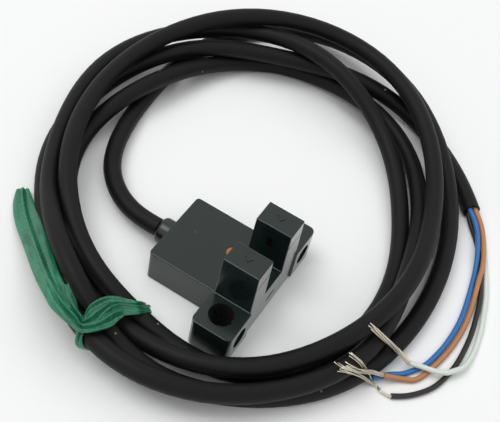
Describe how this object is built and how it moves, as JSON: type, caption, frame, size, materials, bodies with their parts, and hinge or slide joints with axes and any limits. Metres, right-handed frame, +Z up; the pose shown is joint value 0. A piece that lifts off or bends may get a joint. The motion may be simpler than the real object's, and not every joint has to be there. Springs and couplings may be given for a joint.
{
  "type": "slotted optical switch",
  "caption": "U-shaped optical switch with two mounting flanges, a sensing slot between two prongs, and a coiled moulded-in cable with bare core ends.",
  "frame": {"origin": "centre of the underside of the sensor, with the cable left out", "axes": "+X along the two flanges, -Y out of the slotted end, +Y out of the cable side, +Z up the prongs"},
  "size_m": [0.0857, 0.0805, 0.0144],
  "materials": {
    "housing": "fine matte mould texture",
    "cover": "matte",
    "filter": "dark, lets infrared through",
    "amber": "translucent amber",
    "board": "solder-resist lacquer",
    "clear": "clear epoxy",
    "smoked": "dark epoxy",
    "tinned": "satin tin plating",
    "mould": "matte epoxy",
    "ceramic": "satin ceramic",
    "jacket": "satin flexible vinyl",
    "blue": "satin vinyl",
    "brown": "satin vinyl",
    "black": "satin vinyl",
    "white": "satin vinyl",
    "tie": "satin plastic strip"
  },
  "bodies": {
    "root": {"housing": "housing", "base_cover": "cover", "emitter_window": "filter", "detector_window": "filter", "indicator_window": "amber", "circuit_board": "board", "emitter_led": "clear", "photo_detector": "smoked", "emitter_led_pin_front": "tinned", "emitter_led_pin_back": "tinned", "photo_detector_pin_front": "tinned", "photo_detector_pin_back": "tinned", "indicator_led": "clear", "sensor_chip": "mould", "output_transistor_1": "mould", "output_transistor_2": "mould", "chip_resistor_1": "mould", "chip_resistor_2": "mould", "chip_resistor_3": "mould", "chip_capacitor": "ceramic", "cable_gland": "jacket", "inner_core_brown": "brown", "inner_core_black": "black", "inner_core_blue": "blue", "inner_core_white": "white", "cable_jacket": "jacket", "core_blue": "blue", "core_brown": "brown", "core_black": "black", "core_white": "white", "wire_end_blue": "tinned", "wire_end_brown": "tinned", "wire_end_black": "tinned", "wire_end_white": "tinned", "cable_tie": "tie"}
  },
  "joints": []
}
